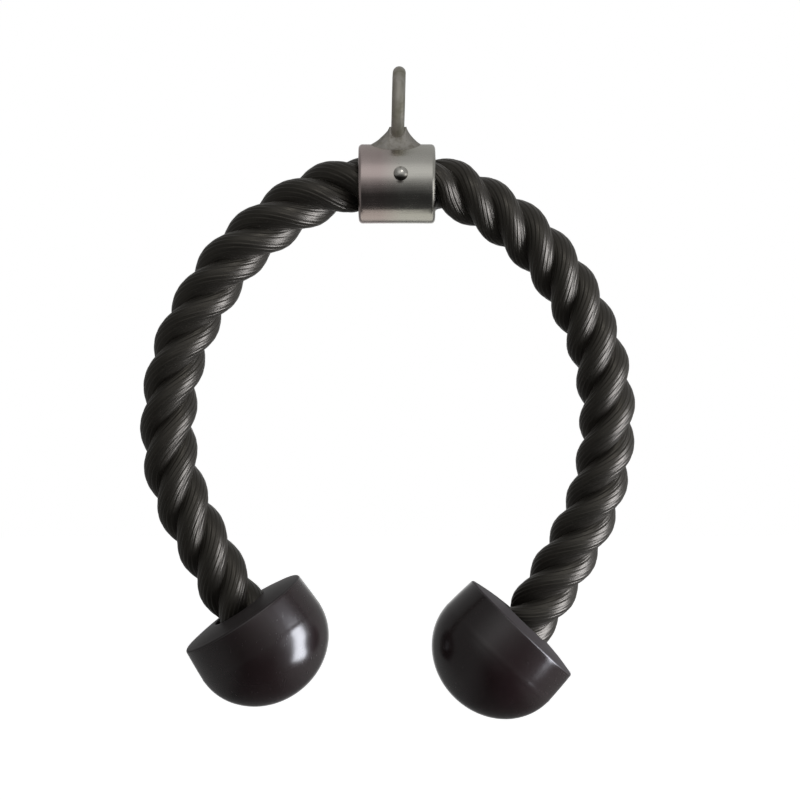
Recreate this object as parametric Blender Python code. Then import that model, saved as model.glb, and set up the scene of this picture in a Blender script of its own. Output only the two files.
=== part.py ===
"""Triceps rope: a thick laid rope bent into an arch through a steel collar with a welded eye, and a
moulded rubber stopper on each end.

Metres, +Z up. The origin is the top of the eye's opening, where the hook of a cable bears. The collar's
axis runs along X, the arch lies in the XZ plane below it, and the object is seen from -Y. "Left" is -X.
"""

import math

import bmesh
import bpy
import numpy as np
from mathutils import Matrix, Vector

# Fits and fineness
seat_gap = 0.0003
cut_overrun = 0.002
merge_distance = 0.00001
fine_steps = 40
small_steps = 28
pin_steps = 16
collar_steps = 48
saddle_steps = 96
round_steps = 3
corner_steps = 4
head_steps = 6
cup_steps = 8
dome_steps = 10

# Steel collar
collar_diameter = 0.0424
collar_wall = 0.004
collar_length = 0.041
collar_outer_round = 0.0022
collar_inner_round = 0.0014

# Eye ring, which stands on the collar, and the weld round its foot
eye_opening = 0.0276
eye_rod_diameter = 0.007
weld_width = 0.026
weld_depth = 0.024
weld_lip = 0.0008
weld_cover = 0.001
weld_plan_power = 3
weld_flank_power = 1.35
weld_reach_share = 0.97
weld_flank_steps = 5
weld_stations = 12

# Rivet through the collar and the rope, with a washer under its hammered tail
rivet_diameter = 0.0048
rivet_side_share = 0.5
rivet_tilt = math.radians(9.5)
rivet_head_diameter = 0.0076
rivet_head_height = 0.0024
rivet_tail_diameter = 0.0086
rivet_tail_height = 0.0016
rivet_washer_diameter = 0.011
rivet_washer_thickness = 0.001
rivet_hole_clearance = 0.0003

# Rope inside the collar: a riveted middle, and a cupped stretch on each side that twists
rope_play = 0.0022
rope_cup_web = 0.001
mouth_pivot_reach = 0.003
mouth_lift_angle = math.radians(40)

# Free stretch of each arm, as (outwards, back, up) from its pivot in the collar's mouth
left_route = (
    (0.0000, 0.0000, 0.0000),
    (0.0105, 0.0000, -0.0026),
    (0.0225, 0.0000, -0.0074),
    (0.0340, 0.0000, -0.0140),
    (0.0445, 0.0000, -0.0216),
    (0.0625, 0.0000, -0.0376),
    (0.0773, 0.0000, -0.0574),
    (0.0887, 0.0000, -0.0786),
    (0.0961, 0.0000, -0.1016),
    (0.0991, 0.0000, -0.1260),
    (0.0974, 0.0001, -0.1505),
    (0.0897, 0.0004, -0.1746),
    (0.0775, 0.0011, -0.1980),
    (0.0615, 0.0030, -0.2279),
)
right_route = (
    (0.0000, 0.0000, 0.0000),
    (0.0105, 0.0000, -0.0044),
    (0.0217, 0.0000, -0.0102),
    (0.0327, 0.0000, -0.0171),
    (0.0517, 0.0000, -0.0332),
    (0.0671, 0.0000, -0.0529),
    (0.0787, 0.0000, -0.0746),
    (0.0863, 0.0000, -0.0980),
    (0.0895, 0.0000, -0.1224),
    (0.0879, 0.0000, -0.1470),
    (0.0817, 0.0000, -0.1714),
    (0.0711, 0.0000, -0.1946),
    (0.0595, 0.0000, -0.2148),
    (0.0459, 0.0000, -0.2357),
)
left_start_dip = math.radians(11)
right_start_dip = math.radians(20)
left_stopper_dip = math.radians(56.7)
right_stopper_dip = math.radians(46.6)
left_stopper_lean = math.radians(5)
right_stopper_lean = 0.0
route_step = 0.0115
arm_rounding_steps = 5
arm_tube_resolution = 4

# Rubber stopper
stopper_diameter = 0.0748
stopper_skirt = 0.019
stopper_dome_height = 0.0336
stopper_crown = 0.0036
stopper_rim_round = 0.0014
stopper_bore_depth = 0.012
stopper_pocket_clearance = 0.0003
rope_bore_clearance = 0.0004
arm_tuck = 0.002

# Hardware on the rope's end, moulded into the stopper
end_washer_width = 0.0077
end_washer_thickness = 0.002
ferrule_wall = 0.003
ferrule_length = 0.019
ferrule_groove_depth = 0.0007
ferrule_groove_width = 0.003
ferrule_groove_shares = (0.74, 0.26)
pin_diameter = 0.004
pin_hole_clearance = 0.0003
rope_tip_flare = 0.00225
rope_tip_length = 0.003
rope_tip_round = 0.001

# Sizes that follow from these
collar_radius = collar_diameter / 2
bore_radius = collar_radius - collar_wall
rope_radius = bore_radius - rope_play
rope_diameter = 2 * rope_radius
eye_mean_radius = (eye_opening + eye_rod_diameter) / 2
eye_height = collar_radius + seat_gap + eye_rod_diameter / 2 + eye_mean_radius
collar_centre = Vector((0, 0, -eye_height - eye_opening / 2))
pivot_offset = collar_length / 2 + mouth_pivot_reach
cup_radius = rope_radius + seat_gap
rope_middle_length = 2 * (pivot_offset - cup_radius - rope_cup_web - seat_gap)
rivet_side_room = rope_middle_length / 2 - rivet_diameter / 2 - rivet_hole_clearance
rivet_centre = collar_centre + Vector((rivet_side_share * rivet_side_room, 0, 0))
stopper_radius = stopper_diameter / 2
rope_bore_radius = rope_radius + rope_bore_clearance
hardware_hole_radius = rope_radius + seat_gap
end_washer_radius = hardware_hole_radius + end_washer_width
ferrule_radius = hardware_hole_radius + ferrule_wall
crown_reach = stopper_radius - stopper_rim_round


def clear_scene():
    for obj in list(bpy.data.objects):
        bpy.data.objects.remove(obj, do_unlink=True)


def material(name, colour, roughness, metallic):
    made = bpy.data.materials.new(name)
    made.use_nodes = True
    shader = made.node_tree.nodes["Principled BSDF"]
    shader.inputs["Base Color"].default_value = (*colour, 1)
    shader.inputs["Roughness"].default_value = roughness
    shader.inputs["Metallic"].default_value = metallic
    return made


def plated_steel(name):
    return material(name, (0.62, 0.61, 0.58), 0.22, 1.0)


def zinc_steel(name):
    return material(name, (0.55, 0.56, 0.58), 0.38, 1.0)


def black_nylon(name):
    return material(name, (0.022, 0.020, 0.020), 0.55, 0.0)


def black_rubber(name):
    return material(name, (0.014, 0.013, 0.015), 0.30, 0.0)


def add_object(name, data, finish):
    obj = bpy.data.objects.new(name, data)
    bpy.context.scene.collection.objects.link(obj)
    data.materials.append(finish(name + "_finish"))
    return obj


def place(obj, location, rotation=None, parent=None):
    """Puts an object at a world location. A parent is an empty that is only moved, never turned."""
    obj.parent = parent
    obj.location = location - parent.location if parent else location
    if rotation:
        obj.rotation_mode = "QUATERNION"
        obj.rotation_quaternion = rotation
    return obj


def pivot_empty(name, location):
    empty = bpy.data.objects.new(name, None)
    bpy.context.scene.collection.objects.link(empty)
    empty.location = location
    return empty


def arc(centre, radii, start, end, count):
    """Points (radius, height) on an ellipse's arc, both ends included; radii is one radius or two."""
    across, along = radii if isinstance(radii, tuple) else (radii, radii)
    turns = (start + (end - start) * i / count for i in range(count + 1))
    return [(centre[0] + across * math.cos(t), centre[1] + along * math.sin(t)) for t in turns]


def turned(name, outline, finish, steps=fine_steps, closed=False):
    """Turns an outline of (radius, height), which runs down the outer side, round the local Z axis."""
    mesh = bpy.data.meshes.new(name)
    edges = [(i, i + 1) for i in range(len(outline) - 1)]
    if closed:
        edges.append((len(outline) - 1, 0))
    mesh.from_pydata([(radius, 0, height) for radius, height in outline], edges, [])
    obj = add_object(name, mesh, finish)
    screw = obj.modifiers.new("Turn", "SCREW")
    screw.axis = "Z"
    screw.steps = steps
    screw.render_steps = steps
    screw.use_merge_vertices = True
    screw.merge_threshold = merge_distance
    screw.use_smooth_shade = True
    return obj


def cutter_cylinder(name, radius, length, location, rotation, steps=small_steps):
    """A hidden cylinder, centred on its location, that a Boolean takes away."""
    mesh = bpy.data.meshes.new(name)
    shape = bmesh.new()
    bmesh.ops.create_cone(
        shape, cap_ends=True, segments=steps, radius1=radius, radius2=radius, depth=length
    )
    shape.to_mesh(mesh)
    shape.free()
    obj = bpy.data.objects.new(name, mesh)
    bpy.context.scene.collection.objects.link(obj)
    place(obj, location, rotation)
    return hide_cutter(obj)


def hide_cutter(obj):
    obj.hide_render = True
    obj.display_type = "WIRE"
    return obj


def cut(obj, cutter):
    modifier = obj.modifiers.new("Cut " + cutter.name, "BOOLEAN")
    modifier.operation = "DIFFERENCE"
    modifier.solver = "EXACT"
    modifier.object = cutter


def torus_mesh(name, mean_radius, rod_radius, around=48, across=16):
    """A ring whose axis is the local Z axis."""
    mesh = bpy.data.meshes.new(name)
    shape = bmesh.new()
    circle = bmesh.ops.create_circle(shape, segments=across, radius=rod_radius)["verts"]
    bmesh.ops.rotate(shape, verts=circle, matrix=Matrix.Rotation(math.pi / 2, 3, "X"))
    bmesh.ops.translate(shape, verts=circle, vec=(mean_radius, 0, 0))
    bmesh.ops.spin(
        shape,
        geom=shape.verts[:] + shape.edges[:],
        axis=(0, 0, 1),
        angle=2 * math.pi,
        steps=around,
        use_merge=True,
    )
    bmesh.ops.remove_doubles(shape, verts=shape.verts[:], dist=merge_distance)
    bmesh.ops.recalc_face_normals(shape, faces=shape.faces[:])
    shape.to_mesh(mesh)
    shape.free()
    mesh.shade_smooth()
    return mesh


def along_x():
    return Vector((1, 0, 0)).to_track_quat("Z", "Y")


def along_rivet():
    """The rivet's axis, which crosses the collar's and comes out above the middle of its front."""
    return Vector((0, -math.cos(rivet_tilt), math.sin(rivet_tilt))).to_track_quat("Z", "Y")


def collar_tube():
    half = collar_length / 2
    outer_middle = (collar_radius - collar_outer_round, half - collar_outer_round)
    outer = arc(outer_middle, collar_outer_round, math.pi / 2, 0, corner_steps)
    inner_middle = (bore_radius + collar_inner_round, half - collar_inner_round)
    inner = arc(inner_middle, collar_inner_round, math.pi, math.pi / 2, round_steps)
    lower_outer = [(radius, -height) for radius, height in reversed(outer)]
    lower_inner = [(radius, -height) for radius, height in reversed(inner)]
    outline = outer + lower_outer + lower_inner + inner
    tube = turned("collar_tube", outline, plated_steel, steps=collar_steps, closed=True)
    place(tube, collar_centre, along_x())
    hole = cutter_cylinder(
        "collar_rivet_hole",
        rivet_diameter / 2 + rivet_hole_clearance,
        collar_diameter + cut_overrun,
        rivet_centre,
        along_rivet(),
    )
    cut(tube, hole)


def eye_ring():
    mesh = torus_mesh("eye_ring", eye_mean_radius, eye_rod_diameter / 2)
    ring = add_object("eye_ring", mesh, plated_steel)
    place(ring, collar_centre + Vector((0, 0, eye_height)), along_x())


def weld_station(y):
    """One slice of the weld across X, at a distance y from the eye's middle, as closed (x, z) points."""
    surface = math.sqrt(collar_radius**2 - y**2)
    ring_line = eye_height - math.sqrt(eye_mean_radius**2 - y**2)
    width_share = (1 - abs(2 * y / weld_depth) ** weld_plan_power) ** (1 / weld_plan_power)
    foot = weld_width / 2 * width_share
    shoulder = min(foot, eye_rod_diameter / 2 + seat_gap + weld_lip)
    flank = []
    for i in range(weld_flank_steps + 1):
        share = i / weld_flank_steps
        x = shoulder + (foot - shoulder) * (1 - share) ** weld_flank_power
        flank.append((x, surface + (ring_line + weld_cover - surface) * share))
    right = [(foot, surface - cut_overrun)] + flank
    left = [(-x, z) for x, z in reversed(right)]
    return right + left


def eye_weld():
    """The bead that fills the crotch between the ring's foot and the collar, front and back."""
    stations = []
    for i in range(weld_stations + 1):
        y = -weld_depth / 2 * weld_reach_share * math.cos(math.pi * i / weld_stations)
        stations.append([(x, y, z) for x, z in weld_station(y)])
    mesh = bpy.data.meshes.new("eye_weld")
    shape = bmesh.new()
    rows = [[shape.verts.new(point) for point in station] for station in stations]
    size = len(rows[0])
    for row, following in zip(rows, rows[1:]):
        for i in range(size):
            j = (i + 1) % size
            shape.faces.new((row[i], row[j], following[j], following[i]))
    shape.faces.new(rows[0])
    shape.faces.new(rows[-1])
    bmesh.ops.recalc_face_normals(shape, faces=shape.faces[:])
    shape.to_mesh(mesh)
    shape.free()
    mesh.shade_smooth()
    mesh.set_sharp_from_angle(angle=math.radians(50))
    bead = add_object("eye_weld", mesh, plated_steel)
    place(bead, collar_centre)
    groove_mesh = torus_mesh("weld_ring_groove", eye_mean_radius, eye_rod_diameter / 2 + seat_gap)
    groove = bpy.data.objects.new("weld_ring_groove", groove_mesh)
    bpy.context.scene.collection.objects.link(groove)
    place(groove, collar_centre + Vector((0, 0, eye_height)), along_x())
    cut(bead, hide_cutter(groove))
    saddle = cutter_cylinder(
        "weld_collar_saddle",
        collar_radius + seat_gap,
        collar_length,
        collar_centre,
        along_x(),
        steps=saddle_steps,
    )
    cut(bead, saddle)


def retaining_rivet():
    """Domed head at the front, shank through the collar and the rope, hammered tail at the back."""
    shank = rivet_diameter / 2
    head = rivet_head_diameter / 2
    tail = rivet_tail_diameter / 2
    head_seat = collar_radius + seat_gap
    washer_seat = -collar_radius - seat_gap
    tail_seat = washer_seat - rivet_washer_thickness - seat_gap
    dome = arc((0, head_seat), (head, rivet_head_height), math.pi / 2, 0, head_steps)
    foot = arc((0, tail_seat), (tail, rivet_tail_height), 0, -math.pi / 2, corner_steps)
    outline = [(0, head_seat + rivet_head_height)] + dome[1:] + [(shank, head_seat)]
    outline += [(shank, tail_seat)] + foot[:-1] + [(0, tail_seat - rivet_tail_height)]
    rivet = turned("retaining_rivet", outline, plated_steel, steps=small_steps)
    place(rivet, rivet_centre, along_rivet())
    hole = shank + rivet_hole_clearance
    edge = rivet_washer_diameter / 2
    low = washer_seat - rivet_washer_thickness
    ring = [(edge, washer_seat), (edge, low), (hole, low), (hole, washer_seat)]
    washer = turned("rivet_washer", ring, zinc_steel, steps=small_steps, closed=True)
    place(washer, rivet_centre, along_rivet())


def rope_middle():
    """The stretch of rope that the rivet goes through."""
    half = rope_middle_length / 2
    outline = [(0, half), (rope_radius, half), (rope_radius, -half), (0, -half)]
    middle = turned("rope_middle", outline, black_nylon)
    place(middle, collar_centre, along_x())
    hole = cutter_cylinder(
        "rope_rivet_hole",
        rivet_diameter / 2 + rivet_hole_clearance,
        rope_diameter + cut_overrun,
        rivet_centre,
        along_rivet(),
    )
    cut(middle, hole)


def rope_root(side, sign):
    """The stretch between the riveted middle and the mouth. Its cup holds the arm's rounded end."""
    back = rope_middle_length / 2 + seat_gap
    rim_depth = rope_radius * math.sin(mouth_lift_angle)
    rim = pivot_offset - rim_depth
    cup_end = math.acos(rim_depth / cup_radius) - math.pi / 2
    cup = arc((0, pivot_offset), cup_radius, -math.pi / 2, cup_end, cup_steps)
    outline = [(0, pivot_offset - cup_radius)] + cup[1:]
    outline += [(rope_radius, rim), (rope_radius, back), (0, back)]
    root = turned("rope_root_" + side, outline, black_nylon)
    turn = Vector((sign, 0, 0)).to_track_quat("Z", "Y")
    place(root, collar_centre, turn)


def aim(sign, dip, lean):
    """A unit vector that points down by dip, inwards across the arch, and back by lean."""
    level = math.cos(lean)
    return Vector((-sign * math.cos(dip) * level, math.sin(lean), -math.sin(dip) * level))


def smooth_route(points, start_direction, end_direction, step, fine=24):
    """Even points on a smooth curve through the route's points, with a set direction at both ends."""
    knots = np.array([tuple(point) for point in points])
    spans = np.linalg.norm(np.diff(knots, axis=0), axis=1)
    slopes = np.zeros_like(knots)
    for i in range(1, len(knots) - 1):
        before = (knots[i] - knots[i - 1]) / spans[i - 1]
        after = (knots[i + 1] - knots[i]) / spans[i]
        slopes[i] = (before * spans[i] + after * spans[i - 1]) / (spans[i] + spans[i - 1])
    slopes[0] = np.array(start_direction)
    slopes[-1] = np.array(end_direction)
    dense = [knots[0]]
    for i, span in enumerate(spans):
        for k in range(1, fine + 1):
            t = k / fine
            dense.append(
                (2 * t**3 - 3 * t**2 + 1) * knots[i]
                + (t**3 - 2 * t**2 + t) * span * slopes[i]
                + (3 * t**2 - 2 * t**3) * knots[i + 1]
                + (t**3 - t**2) * span * slopes[i + 1]
            )
    dense = np.array(dense)
    travelled = np.concatenate([[0], np.cumsum(np.linalg.norm(np.diff(dense, axis=0), axis=1))])
    count = max(2, round(travelled[-1] / step))
    marks = np.linspace(0, travelled[-1], count + 1)
    return [Vector([np.interp(mark, travelled, dense[:, k]) for k in range(3)]) for mark in marks]


def rope_arm(side, points, start_direction, end_direction, pivot):
    """The free stretch: a plain tube with a rounded end in the collar and a flat one in the stopper."""
    turns = [math.pi / 2 * i / (arm_rounding_steps + 1) for i in range(arm_rounding_steps, 0, -1)]
    stations = [(-start_direction * rope_radius * math.sin(t), math.cos(t)) for t in turns]
    stations += [(point, 1.0) for point in points]
    stations.append((points[-1] + end_direction * arm_tuck, 1.0))
    data = bpy.data.curves.new("rope_arm_" + side, "CURVE")
    data.dimensions = "3D"
    data.bevel_depth = rope_radius
    data.bevel_resolution = arm_tube_resolution
    data.use_fill_caps = True
    spline = data.splines.new("POLY")
    spline.points.add(len(stations) - 1)
    for target, (point, share) in zip(spline.points, stations):
        target.co = (*point, 1)
        target.radius = share
    arm = add_object("rope_arm_" + side, data, black_nylon)
    place(arm, pivot.location, parent=pivot)


def crown_height(radius):
    """How far the gently domed rope side stands out of the rim's plane at a radius."""
    return stopper_crown * (1 - (radius / crown_reach) ** 2)


def stopper_outline():
    """Pole, dome, skirt, rim and crowned face, then the bore and the pocket for the hardware."""
    washer_room = end_washer_radius + stopper_pocket_clearance
    ferrule_room = ferrule_radius + stopper_pocket_clearance
    washer_top = stopper_bore_depth + seat_gap + end_washer_thickness + seat_gap
    pocket_top = washer_top + ferrule_length + seat_gap + rope_tip_length + seat_gap
    dome_radii = (stopper_radius, stopper_dome_height)
    dome = arc((0, stopper_skirt), dome_radii, math.pi / 2, 0, dome_steps)
    rim = arc((crown_reach, stopper_rim_round), stopper_rim_round, 0, -math.pi / 2, round_steps)
    crown_middle = (crown_reach + rope_bore_radius) / 2
    crown = [(radius, -crown_height(radius)) for radius in (crown_middle, rope_bore_radius)]
    outline = [(0, stopper_skirt + stopper_dome_height)] + dome[1:] + rim + crown
    outline += [
        (rope_bore_radius, stopper_bore_depth),
        (washer_room, stopper_bore_depth),
        (washer_room, washer_top),
        (ferrule_room, washer_top),
        (ferrule_room, pocket_top),
        (0, pocket_top),
    ]
    return outline


def stopper(side, centre, turn, pivot):
    body = turned("stopper_" + side, stopper_outline(), black_rubber)
    place(body, centre, turn, pivot)


def end_hardware(side, centre, turn, pivot):
    """Washer, crimped ferrule, cross pin and the rope's fused end inside one stopper."""
    washer_low = stopper_bore_depth + seat_gap
    washer_high = washer_low + end_washer_thickness
    ferrule_low = washer_high + seat_gap
    ferrule_high = ferrule_low + ferrule_length
    tip_low = ferrule_high + seat_gap
    tip_high = tip_low + rope_tip_length
    hole = hardware_hole_radius
    edge = end_washer_radius
    ring = [(edge, washer_high), (edge, washer_low), (hole, washer_low), (hole, washer_high)]
    washer = turned("end_washer_" + side, ring, zinc_steel, steps=small_steps, closed=True)
    place(washer, centre, turn, pivot)

    outer = ferrule_radius
    waist = outer - ferrule_groove_depth
    outline = [(outer, ferrule_high)]
    for share in ferrule_groove_shares:
        middle = ferrule_low + ferrule_length * share
        high = middle + ferrule_groove_width / 2
        low = middle - ferrule_groove_width / 2
        outline += [(outer, high), (waist, middle), (outer, low)]
    outline += [(outer, ferrule_low), (hole, ferrule_low), (hole, ferrule_high)]
    ferrule = turned("crimp_ferrule_" + side, outline, zinc_steel, steps=small_steps, closed=True)
    place(ferrule, centre, turn, pivot)

    tip = rope_radius + rope_tip_flare
    axis = turn @ Vector((0, 0, 1))
    start = arm_tuck - crown_height(rope_bore_radius) + seat_gap
    outline = [(0, tip_high), (tip - rope_tip_round, tip_high), (tip, tip_high - rope_tip_round)]
    outline += [(tip, tip_low), (rope_radius, tip_low), (rope_radius, start), (0, start)]
    end = turned("rope_end_" + side, outline, black_nylon, steps=small_steps)
    place(end, centre, turn, pivot)

    across = turn @ Vector((0, 1, 0)).to_track_quat("Z", "X")
    pin_centre = centre + axis * (ferrule_low + ferrule_length / 2)
    pin_length = 2 * outer
    pin_radius = pin_diameter / 2
    half = pin_length / 2
    outline = [(0, half), (pin_radius, half), (pin_radius, -half), (0, -half)]
    pin = turned("ferrule_pin_" + side, outline, zinc_steel, steps=pin_steps)
    place(pin, pin_centre, across, pivot)
    hole_cutter = cutter_cylinder(
        "pin_hole_" + side,
        pin_radius + pin_hole_clearance,
        pin_length + cut_overrun,
        pin_centre,
        across,
        steps=pin_steps,
    )
    cut(ferrule, hole_cutter)
    cut(end, hole_cutter)


def arm(side, sign, route, start_dip, stopper_dip, lean):
    """One whole arm, on an empty at its pivot in the collar's mouth."""
    pivot = pivot_empty("mouth_pivot_" + side, collar_centre + Vector((sign * pivot_offset, 0, 0)))
    start_direction = Vector((sign * math.cos(start_dip), 0, -math.sin(start_dip)))
    end_direction = aim(sign, stopper_dip, lean)
    knots = [Vector((sign * out, back, up)) for out, back, up in route]
    points = smooth_route(knots, start_direction, end_direction, route_step)
    rope_arm(side, points, start_direction, end_direction, pivot)
    centre = pivot.location + points[-1] + end_direction * crown_height(rope_bore_radius)
    turn = end_direction.to_track_quat("Z", "Y")
    stopper(side, centre, turn, pivot)
    end_hardware(side, centre, turn, pivot)


clear_scene()
collar_tube()
eye_ring()
eye_weld()
retaining_rivet()
rope_middle()
rope_root("left", -1)
rope_root("right", 1)
arm("left", -1, left_route, left_start_dip, left_stopper_dip, left_stopper_lean)
arm("right", 1, right_route, right_start_dip, right_stopper_dip, right_stopper_lean)
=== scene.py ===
"""Looks of the triceps rope: laid rope, plated collar and eye, glossy rubber stoppers, in a white studio.

Metres, +Z up, seen from -Y. The main sizes are the same as in the part's source. "Left" is -X.
"""

import math

import bmesh
import bpy
import numpy as np
from mathutils import Matrix, Vector


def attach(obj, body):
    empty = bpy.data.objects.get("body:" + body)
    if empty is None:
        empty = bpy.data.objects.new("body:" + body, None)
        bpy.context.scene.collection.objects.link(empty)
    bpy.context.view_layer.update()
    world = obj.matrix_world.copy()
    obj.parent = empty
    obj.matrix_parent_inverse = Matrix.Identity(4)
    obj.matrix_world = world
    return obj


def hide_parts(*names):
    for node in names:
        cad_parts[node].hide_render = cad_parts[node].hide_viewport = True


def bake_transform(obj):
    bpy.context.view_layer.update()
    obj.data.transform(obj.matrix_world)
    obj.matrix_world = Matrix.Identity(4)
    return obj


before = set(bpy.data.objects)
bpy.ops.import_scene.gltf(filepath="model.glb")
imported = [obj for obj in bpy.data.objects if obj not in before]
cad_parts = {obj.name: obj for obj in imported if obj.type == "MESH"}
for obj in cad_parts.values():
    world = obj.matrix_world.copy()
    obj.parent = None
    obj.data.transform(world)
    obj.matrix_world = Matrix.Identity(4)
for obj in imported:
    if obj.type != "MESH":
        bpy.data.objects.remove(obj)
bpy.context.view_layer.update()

# Fineness
turn_steps = 160
small_turn_steps = 64
hardware_steps = 96
pin_steps = 48
cutter_steps = 48
ring_steps = 180
rod_steps = 48
weld_stations = 120
weld_flank_steps = 40
edge_steps = 4
groove_steps = 8
collar_outer_steps = 10
collar_inner_steps = 8
rivet_dome_steps = 18
rivet_tail_steps = 14
dome_steps = 44
rim_steps = 8
crown_points = 12
lip_steps = 5
rope_tip_steps = 6
route_steps = 24
middle_rings = 15
outline_spacing = 0.0016
bore_spacing = 0.003
rope_ring_spacing = 0.0011
strand_facets = 54
merge_distance = 0.000001

# Collar, eye and weld
collar_radius = 0.0212
collar_wall = 0.004
collar_length = 0.041
collar_outer_round = 0.0022
collar_inner_round = 0.0014
collar_swell = 0.00005
collar_ripple = 0.00003
collar_end_wave = 0.00006
eye_opening = 0.0276
eye_rod_radius = 0.0035
eye_lean = math.radians(1.5)
eye_side_step = 0.0003
eye_oval_share = 0.003
eye_hook_wear = 0.00025
rod_swell_share = 0.006
rod_ripple_share = 0.004
seat_gap = 0.0003
weld_reach_left = 0.0143
weld_reach_right = 0.0134
weld_half_depth = 0.0128
weld_depth_share = 0.998
weld_end_start = 0.0075
weld_end_power = 1.6
weld_toe_start = 0.1
weld_toe_span = 0.5
weld_toe_power = 1.6
weld_top = 0.0072
weld_top_climb = 0.0014
weld_opening_room = 0.0002
weld_shoulder = 0.0046
weld_shoulder_share = 0.8
weld_neck_shift = 0.0006
weld_feather = 0.0007
weld_sink = 0.0003
weld_plan_power = 3
weld_flank_power = 1.45
weld_edge_swell = 0.015
weld_edge_ripple = 0.01
ripple_pitch = 0.0021
ripple_height = 0.00009
ripple_curve = 1.1
ripple_spread = 0.8

# The weld's crest, as shares of its shoulder's width, of the feather and of the dip to the ring's underside
weld_crest = ((0.87, 0.6, 0), (0.74, 1, 0), (0.5, 0, 1), (0, 0, 1))

# Rivet and its washer
rivet_radius = 0.0024
rivet_side_step = 0.0021
rivet_tilt = math.radians(9.5)
rivet_head_radius = 0.0038
rivet_head_height = 0.0024
rivet_tail_radius = 0.0043
rivet_tail_height = 0.0016
rivet_head_lip = 0.0003
rivet_dent_width = 0.0001
rivet_dent_depth = 0.00012
rivet_hole_clearance = 0.0003
rivet_washer_radius = 0.0055
rivet_washer_thickness = 0.001
rivet_washer_soft_edge = 0.0002

# Rope: three strands laid right-handed
rope_radius = 0.015
strand_centre_radius = 0.0062
strand_radius = 0.0089
left_lay = 0.070
right_lay = 0.064
left_phase = math.radians(53)
right_phase = math.radians(27)
yarn_pitch = 0.0031
yarn_relief = 0.00012
yarn_slant = math.radians(12)
strand_unevenness = 0.00022
crease_fade = 0.5
rope_middle_half = 0.0069
mouth_pivot_offset = 0.0235
mouth_settle = 0.010

# Free stretch of each arm, as (outwards, back, up) from its pivot in the collar's mouth
left_route = (
    (0, 0, 0),
    (0.0105, 0, -0.0026),
    (0.0225, 0, -0.0074),
    (0.0340, 0, -0.0140),
    (0.0445, 0, -0.0216),
    (0.0625, 0, -0.0376),
    (0.0773, 0, -0.0574),
    (0.0887, 0, -0.0786),
    (0.0961, 0, -0.1016),
    (0.0991, 0, -0.1260),
    (0.0974, 0.0001, -0.1505),
    (0.0897, 0.0004, -0.1746),
    (0.0775, 0.0011, -0.1980),
    (0.0615, 0.0030, -0.2279),
)
right_route = (
    (0, 0, 0),
    (0.0105, 0, -0.0044),
    (0.0217, 0, -0.0102),
    (0.0327, 0, -0.0171),
    (0.0517, 0, -0.0332),
    (0.0671, 0, -0.0529),
    (0.0787, 0, -0.0746),
    (0.0863, 0, -0.0980),
    (0.0895, 0, -0.1224),
    (0.0879, 0, -0.1470),
    (0.0817, 0, -0.1714),
    (0.0711, 0, -0.1946),
    (0.0595, 0, -0.2148),
    (0.0459, 0, -0.2357),
)
left_stopper_dip = math.radians(56.7)
right_stopper_dip = math.radians(46.6)
left_stopper_lean = math.radians(5)
right_stopper_lean = 0.0
arm_tuck = 0.002

# Slow unevenness of the strands, as (pitch, share), and its shift from strand to strand and wave to wave
strand_waves = ((0.061, 0.5), (0.037, 0.3), (0.0213, 0.2))
strand_shift = 1.9
wave_shift = 2.7

# Starts of the slow unevenness, on the left and the right where there are two
arm_seeds = (1.3, 4.1)
middle_seed = 0.4
end_seed = 2.2
stopper_seeds = (0.6, 2.3)

# Rubber stopper
stopper_radius = 0.0374
stopper_skirt = 0.019
stopper_dome_height = 0.0336
stopper_crown = 0.0036
stopper_rim_round = 0.0014
stopper_bore_depth = 0.012
stopper_bore_lip = 0.0007
stopper_pocket_clearance = 0.0003
rope_bore_radius = 0.0154
stopper_wall_start = 0.030
stopper_swell = 0.00010
stopper_ripple = 0.00007
parting_height = 0.00012
parting_width = 0.0006
skirt_taper = 0.0010
skirt_taper_power = 1.5
skirt_taper_start = 0.026
skirt_taper_blend = 0.010
left_bloom = 0.30
right_bloom = 0.13

# Hardware on the rope's end
end_washer_radius = 0.023
end_washer_thickness = 0.002
end_washer_soft_edge = 0.0003
hardware_hole_radius = 0.0153
ferrule_radius = 0.0183
ferrule_length = 0.019
ferrule_soft_edge = 0.0004
ferrule_low = stopper_bore_depth + seat_gap + end_washer_thickness + seat_gap
ferrule_groove_depth = 0.0007
ferrule_groove_width = 0.003
ferrule_groove_shares = (0.74, 0.26)
pin_radius = 0.002
pin_chamfer = 0.0003
pin_hole_clearance = 0.0003
rope_tip_flare = 0.00225
rope_tip_length = 0.003
rope_tip_round = 0.001
rope_tip_overlap = 0.0006
rope_tip_slump = 0.00018
rope_tip_swell = 0.00008
rope_tip_dimple = 0.0001
rope_tip_step = 0.0004

# Places that follow from these
eye_mean_radius = eye_opening / 2 + eye_rod_radius
eye_height = collar_radius + seat_gap + eye_rod_radius + eye_mean_radius
collar_centre = Vector((0, 0, -eye_height - eye_opening / 2))
eye_centre = collar_centre + Vector((0, 0, eye_height))
rivet_centre = collar_centre + Vector((rivet_side_step, 0, 0))
rivet_direction = Vector((0, -math.cos(rivet_tilt), math.sin(rivet_tilt)))
bore_radius = collar_radius - collar_wall
crown_reach = stopper_radius - stopper_rim_round

# Camera and studio
camera_distance = 1.2
picture_centre = Vector((0.0017, 0, -0.1721))
picture_width = 0.4296
sensor_width = 36
floor_height = -0.80
floor_half = 9.0
floor_glow = 0.72
lamp_target = Vector((0, 0, -0.27))
lamp_distance = 1.2
low_lamp_distance = 0.62
front_lamp_distance = 0.9

# The room round the object: where a view leans far enough aside to see its sides, their levels on the
# left and the right, and how straight back a glossy view has to look to see the backdrop
side_span = (0.35, 0.75)
side_levels = (0.20, 0.34)
backdrop_span = (0.90, 0.99)

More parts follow.
